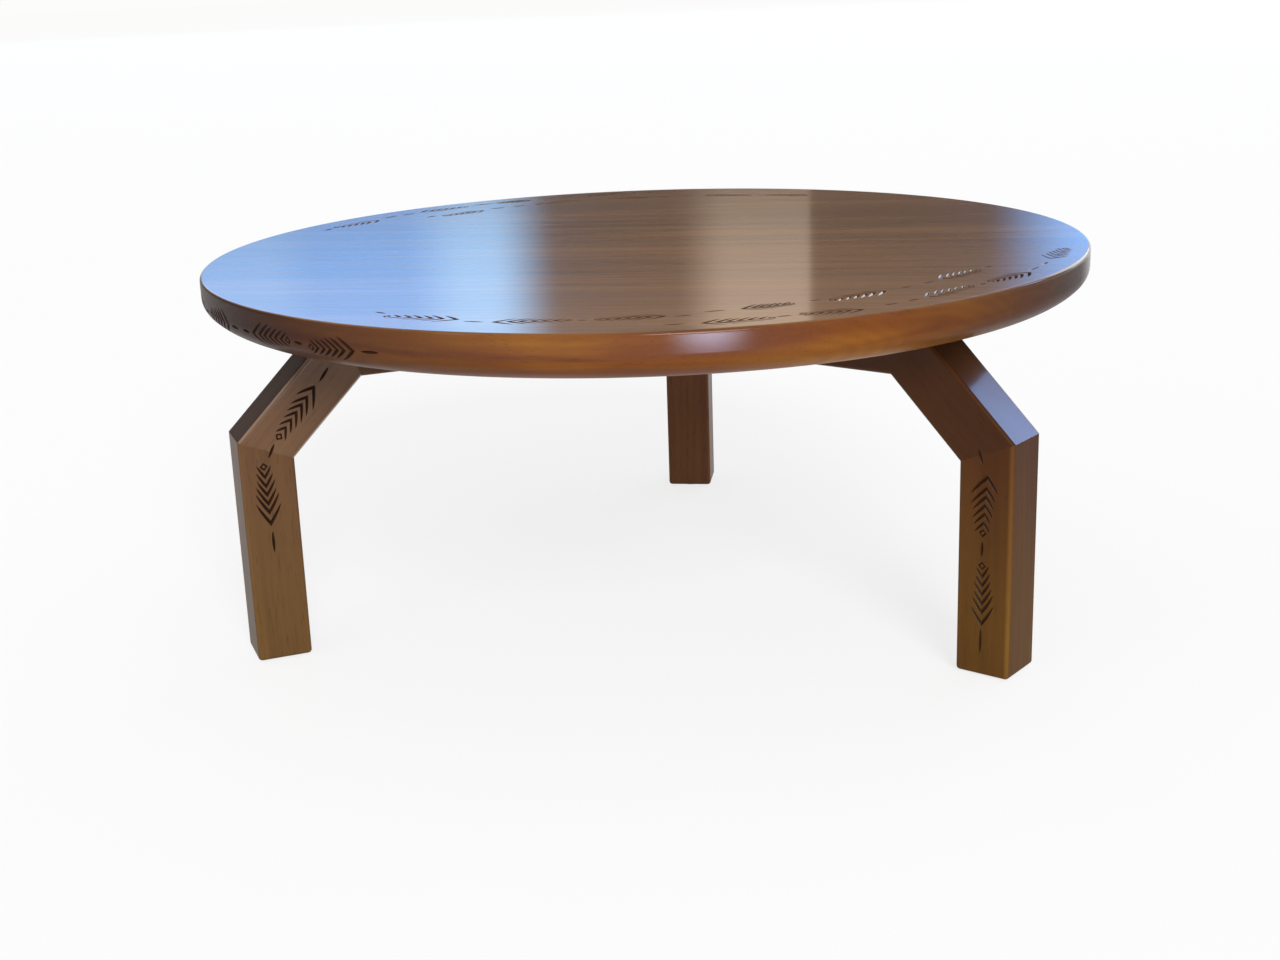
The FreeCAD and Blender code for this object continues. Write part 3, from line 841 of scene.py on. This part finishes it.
def member_wood(name, seed):
    """Wood of one member of a leg, with the grain along it."""
    leg, part = name.split("_")
    out, across, up = [Vector(v) for v in leg_directions(leg)]
    direction = {"rail": out, "strut": (out - up).normalized(), "post": -up}[part]
    middle = {"rail": (SHOULDER_INNER[0] / 2, UNDERSIDE - STOCK / 2),
              "strut": np.mean([SHOULDER_INNER, SHOULDER_OUTER, KNEE_INNER, KNEE_OUTER], axis=0).tolist(),
              "post": (POST_OUTER - STOCK / 2, KNEE_INNER[1] / 2)}[part]
    centre = (out * middle[0] + up * middle[1]) * MM
    tint = MEMBER_TONES.get(name, (1.0, 1.0, 1.0))
    face, foot = [tuple(tuple(c * k for c, k in zip(tone, tint)) for tone in tones[leg])
                  for tones in (LEG_TONES, FOOT_TONES)]
    lacquer = (MEMBER_COATS.get(name, MEMBER_COATS[part]), *LEG_LACQUER)
    return wood("leg_wood_" + name, (direction, across, direction.cross(across)), centre, face, foot,
                lacquer, seed, figure=0.4, mottle=0.45, arris_wear_and_highlight=ARRIS_WEAR_AND_HIGHLIGHTS.get(name, USUAL_ARRIS_WEAR_AND_HIGHLIGHT),
                cut_shade=CUT_SHADES[leg], outer_shade_and_lacquer=OUTER_SIDE_SHADE_AND_LACQUER.get(name))


def plain_material(name, colour, rough, metal=0.0, grain=(60.0, 60.0, 60.0), contrast=0.2, bump_size=0.0002):
    """A plain finish with fine uneven colour, gloss and relief."""
    material = bpy.data.materials.new(name)
    tree = Tree(material)
    place = tree.add("TexCoord").outputs["Object"]
    speckle = tree.noise(tree.mapped(place, grain), 5.0, scale=10.0)
    dark = tuple(c * (1 - contrast) for c in colour)
    pale = tuple(min(1, c * (1 + contrast)) for c in colour)
    bump = tree.add("Bump", {"Strength": 0.4, "Distance": bump_size, "Height": speckle})
    tree.fill(tree.nodes["Principled BSDF"], {
        "Base Color": tree.mix(tree.between(speckle, 0.3, 0.7), dark, pale),
        "Roughness": tree.between(speckle, 0.0, 1.0, rough * 0.85, min(1.0, rough * 1.15)),
        "Metallic": metal, "Normal": bump.outputs[0]})
    return material


def dress(node, material):
    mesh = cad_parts[node].data
    mesh.materials.clear()
    mesh.materials.append(material)


# The top.

skin = carved_top()
for number in range(1, BOARD_COUNT + 1):
    board = place_piece("carved_board_%d" % number, board_from(skin, number), board_wood(number),
                        "top_board_%d" % number)
    finish_skin(board, top_surface_depth)
skin.free()

# The legs.

# The inner and outer corner of each end of a member; a post's begin above its rounded foot.
ABOVE_FOOT = POST_STANDS_AT + FOOT_EDGE_RADIUS
MEMBER_SPANS = {
    "post": (((POST_INNER, ABOVE_FOOT), (POST_OUTER, ABOVE_FOOT)), (KNEE_INNER, KNEE_OUTER)),
    "strut": ((KNEE_INNER, KNEE_OUTER), (SHOULDER_INNER, SHOULDER_OUTER)),
}
CARVED_SIDES = {"left": 1, "right": -1}
for order, leg in enumerate(LEG_AZIMUTHS):
    for step, part in enumerate(("rail", "strut", "post")):
        name = leg + "_" + part
        material = member_wood(name, 1.3 + 2.9 * order + 0.9 * step)
        if name in LEG_BANDS:
            mesh, skin_of = carved_member(name, CARVED_SIDES[leg], LEG_BANDS[name], *MEMBER_SPANS[part],
                                          foot=part == "post")
            finish_skin(place_piece("carved_" + name, mesh, material, name), skin_of)
        else:
            dress(name, material)

steel = plain_material("zinc_steel", (0.62, 0.61, 0.58), 0.32, 1.0, contrast=0.08, bump_size=0.00003)
felt = plain_material("brown_felt", (0.055, 0.035, 0.024), 0.95, grain=(180.0, 180.0, 180.0), contrast=0.4)
tongue = plain_material("bare_hardwood", (0.52, 0.36, 0.19), 0.6, grain=(8.0, 90.0, 90.0), contrast=0.15)
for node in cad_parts:
    if node.endswith("_foot_pad"):
        dress(node, felt)
    elif node.endswith("_splines"):
        dress(node, tongue)
    elif node in ("top_screws", "top_washers"):
        dress(node, steel)

# Floor, light and camera.

FLOOR_STEPS = 96
FLOOR_RADIUS, BACKDROP_RADIUS, BACKDROP_HEIGHT = 60.0, 160.0, 7.0
FLOOR_COLOUR = (0.88, 0.88, 0.88)
FLOOR_WHITE_SHARE = 0.78
WHITE = (1.0, 1.0, 1.0)


def studio_floor():
    """A wide level disc that turns up into a low backdrop far behind."""
    turn = np.arange(FLOOR_STEPS) * 2 * math.pi / FLOOR_STEPS
    ring = np.stack([np.cos(turn), np.sin(turn), 0 * turn], 1)
    backdrop = ring * BACKDROP_RADIUS + np.array([0, 0, BACKDROP_HEIGHT])
    verts = np.concatenate([[[0, 0, 0]], ring * FLOOR_RADIUS, backdrop])
    k = 1 + np.arange(FLOOR_STEPS)
    n = 1 + k % FLOOR_STEPS
    faces = (np.stack([0 * k, k, n], 1).tolist()
             + np.stack([k, FLOOR_STEPS + k, FLOOR_STEPS + n, n], 1).tolist())
    mesh = bpy.data.meshes.new("floor")
    mesh.from_pydata(verts.tolist(), [], faces)
    material = bpy.data.materials.new("pale_floor")
    tree = Tree(material)
    tree.nodes.clear()
    matt = tree.add("BsdfDiffuse", {"Color": FLOOR_COLOUR})
    white = tree.add("Emission", {"Color": WHITE, "Strength": 1.0})
    rays = tree.add("LightPath").outputs
    seen = tree.plus(rays["Is Camera Ray"], rays["Is Glossy Ray"])
    seen = tree.plus(seen, rays["Is Transmission Ray"], True)
    values = {0: tree.times(seen, FLOOR_WHITE_SHARE), 1: matt.outputs[0], 2: white.outputs[0]}
    tree.add("OutputMaterial", {"Surface": tree.add("MixShader", values).outputs[0]})
    mesh.materials.append(material)
    floor = bpy.data.objects.new("floor", mesh)
    bpy.context.scene.collection.objects.link(floor)


# The photo's camera, as fitted to the outline of the top and the corners of the legs.
CAMERA_PLACE = (0.3031, -2.1456, 0.7906)
CAMERA_HEADING = math.radians(-10.08)
CAMERA_PITCH = math.radians(-16.461)
CAMERA_ROLL = math.radians(-2.467)
FOCAL_PIXELS = 1742.4
FRAME_WIDTH, FRAME_HEIGHT = 1280, 960
PRINCIPAL_POINT = (589.0, 480.05)
SENSOR, CLIP_END = 36.0, 400.0


# The world is white where it meets the floor, dim just above that and brighter overhead. The
# ranges are sines of the height above the horizon.
HORIZON_LEVEL, GLOW_LEVEL, ZENITH_LEVEL = 0.045, 0.51, 0.68
HAZE_ENDS, GLOW_RISES, ZENITH_RISES, COLOUR_PALES = (
    (0.075, 0.112), (0.13, 0.245), (0.3, 0.95), (0.25, 0.6))
GLOW_COLOUR = (1.0, 0.70, 0.48)
# Far behind the table stand tall windows, which the polish mirrors: the range of headings from +Y
# towards +X and of heights that each fills as the polished top shows it, in degrees, the shares
# over which its left and right side and its foot and head fade in, its level and its colour.
WINDOW_DISTANCE = 30.0
WINDOWS = {
    "far_left_window": ((-33.0, -18.4), (3, 26), (0.1, 0.14), (0.4, 0.15), 2.8, (0.21, 0.52, 1.0)),
    "left_window": ((-20.4, -13.6), (3, 26), (0.30, 0.35), (0.4, 0.15), 2.65, (0.14, 0.46, 1.0)),
    "near_window": ((-16.0, -10.7), (3, 26), (0.45, 0.45), (0.4, 0.15), 3.1, (0.29, 0.61, 1.0)),
    "doorway": ((-7.0, -2.42), (4.5, 24.0), (0.42, 0.03), (0.38, 0.15), 0.82, (1.0, 0.83, 0.66)),
    "right_window": ((3.0, 13.0), (2.5, 25.0), (0.36, 0.40), (0.15, 0.15), 2.3, (0.17, 0.47, 1.0)),
    "right_sky": ((11.0, 38.0), (4.0, 26.0), (0.15, 0.10), (0.15, 0.15), 2.8, (0.86, 0.93, 1.0)),
    "side_window": ((41.6, 49.0), (20.0, 30.0), (0.27, 0.2), (0.15, 0.15), 15.0, (0.28, 0.50, 1.0)),
}
# A bright patch low in front of the table, which the rim mirrors right of its middle at one point.
RIM_GLINT_PLACE, RIM_GLINT_POINT = (0.803, -2.045, 0.135), (0.137, -0.522, 0.441)
RIM_GLINT_SIZE, RIM_GLINT_FADES = (0.80, 0.16), ((0.5, 0.5), (0.38, 0.3))
RIM_GLINT_LEVEL, RIM_GLINT_COLOUR = 44.0, (0.62, 0.72, 1.0)
# A high light to the left, which runs as a thin line along the left strut.
ARRIS_GLINT_TOWARD, ARRIS_GLINT_DISTANCE = (-0.475, -0.587, 0.656), 3.0
ARRIS_GLINT_SIZE, ARRIS_GLINT_FADES = (0.5, 0.5), ((0.3, 0.3), (0.3, 0.3))
ARRIS_GLINT_LEVEL, ARRIS_GLINT_COLOUR = 9.0, (0.9, 0.95, 1.0)
# The broad light on the whole table.
KEY_LEVEL, KEY_TOWARD, KEY_ANGLE = 0.8, (-0.33, 0.82, -0.47), math.radians(24)


def studio_world():
    """White where it meets the floor, then dim, with a warm glow that turns paler towards the zenith."""
    world = bpy.data.worlds.new("studio")
    tree = Tree(world)
    height = tree.axes(tree.add("TexCoord").outputs["Generated"])[2]

    def rise(ends, start, end):
        return tree.between(height, *ends, start, end, "SMOOTHSTEP")

    glow = tree.plus(rise(GLOW_RISES, HORIZON_LEVEL, GLOW_LEVEL),
                     rise(ZENITH_RISES, 0.0, ZENITH_LEVEL - GLOW_LEVEL))
    haze = rise(HAZE_ENDS, 1.0, 0.0)
    whiter = tree.math("MAXIMUM", haze, rise(COLOUR_PALES, 0.0, 1.0))
    tree.fill(tree.nodes["Background"], {"Strength": tree.math("MAXIMUM", glow, haze),
                                         "Color": tree.mix(whiter, GLOW_COLOUR, WHITE)})
    bpy.context.scene.world = world


def add_light(name, data, place, toward):
    """Hangs a light at a place, facing a direction."""
    lamp = bpy.data.objects.new(name, data)
    lamp.location = place
    lamp.rotation_euler = toward.to_track_quat("-Z", "Y").to_euler()
    bpy.context.scene.collection.objects.link(lamp)
    return lamp


def soft_lamp(name, place, toward, size, fades, level, colour):
    """An upright lamp that fades in over shares of its sides and ends, unseen by the camera itself."""
    data = bpy.data.lights.new(name, "AREA")
    data.shape = "RECTANGLE"
    data.size, data.size_y = size
    data.energy = level * math.pi * size[0] * size[1]
    data.color = colour
    tree = Tree(data)
    along = tree.axes(tree.add("NewGeometry").outputs["Parametric"])
    side_fades, end_fades = fades
    share = 1.0
    for axis, (low, high) in enumerate((side_fades[::-1], end_fades)):
        for start, end in ((0.0, low), (1.0, 1.0 - high)):
            share = tree.times(share, tree.between(along[axis], start, end, curve="SMOOTHSTEP"))
    tree.fill(tree.nodes["Emission"], {"Strength": share})
    add_light(name, data, place, toward).visible_camera = False


def window(name, headings, heights, side_fades, end_fades, level, colour):
    """A tall lamp far away, placed from the camera's mirror image under the table's top."""
    mirrored = Vector((CAMERA_PLACE[0], CAMERA_PLACE[1], 2 * TOP_HEIGHT * MM - CAMERA_PLACE[2]))
    middle, half = math.radians(sum(headings) / 2), math.radians(headings[1] - headings[0]) / 2
    low, high = [WINDOW_DISTANCE * math.tan(math.radians(h)) for h in heights]
    ahead = Vector((math.sin(middle), math.cos(middle), 0))
    place = mirrored + ahead * WINDOW_DISTANCE + Vector((0, 0, (low + high) / 2))
    size = (2 * WINDOW_DISTANCE * math.tan(half), high - low)
    soft_lamp(name, place, -ahead, size, (side_fades, end_fades), level, colour)


def studio():
    studio_world()
    for name, row in WINDOWS.items():
        window(name, *row)
    toward = Vector(RIM_GLINT_POINT) - Vector(RIM_GLINT_PLACE)
    toward.z = 0
    soft_lamp("rim_glint", RIM_GLINT_PLACE, toward, RIM_GLINT_SIZE, RIM_GLINT_FADES,
              RIM_GLINT_LEVEL, RIM_GLINT_COLOUR)
    high = Vector(ARRIS_GLINT_TOWARD) * ARRIS_GLINT_DISTANCE
    soft_lamp("arris_glint", high, -high, ARRIS_GLINT_SIZE, ARRIS_GLINT_FADES,
              ARRIS_GLINT_LEVEL, ARRIS_GLINT_COLOUR)
    data = bpy.data.lights.new("soft_key", "SUN")
    data.energy = KEY_LEVEL * math.pi
    data.angle = KEY_ANGLE
    add_light("soft_key", data, (0.0, 0.0, 0.0), Vector(KEY_TOWARD))
    bpy.context.scene.view_settings.view_transform = "Standard"


def camera():
    """The camera that took the photo, with its own tilt and off-centre lens."""
    heading, pitch, roll = CAMERA_HEADING, CAMERA_PITCH, CAMERA_ROLL
    flat_ahead = Vector((math.sin(heading), math.cos(heading), 0))
    ahead = flat_ahead * math.cos(pitch) + Vector((0, 0, math.sin(pitch)))
    level = Vector((math.cos(heading), -math.sin(heading), 0))
    upward = level.cross(ahead)
    right = math.cos(roll) * level + math.sin(roll) * upward
    up = -math.sin(roll) * level + math.cos(roll) * upward
    data = bpy.data.cameras.new("camera")
    data.sensor_width = SENSOR
    data.lens = FOCAL_PIXELS * SENSOR / FRAME_WIDTH
    data.shift_x = (FRAME_WIDTH / 2 - PRINCIPAL_POINT[0]) / FRAME_WIDTH
    data.shift_y = (PRINCIPAL_POINT[1] - FRAME_HEIGHT / 2) / FRAME_WIDTH
    data.clip_end = CLIP_END
    eye_point = bpy.data.objects.new("camera", data)
    turn = Matrix((right, up, -ahead)).transposed().to_4x4()
    eye_point.matrix_world = Matrix.Translation(CAMERA_PLACE) @ turn
    bpy.context.scene.collection.objects.link(eye_point)
    bpy.context.scene.camera = eye_point


studio_floor()
studio()
camera()
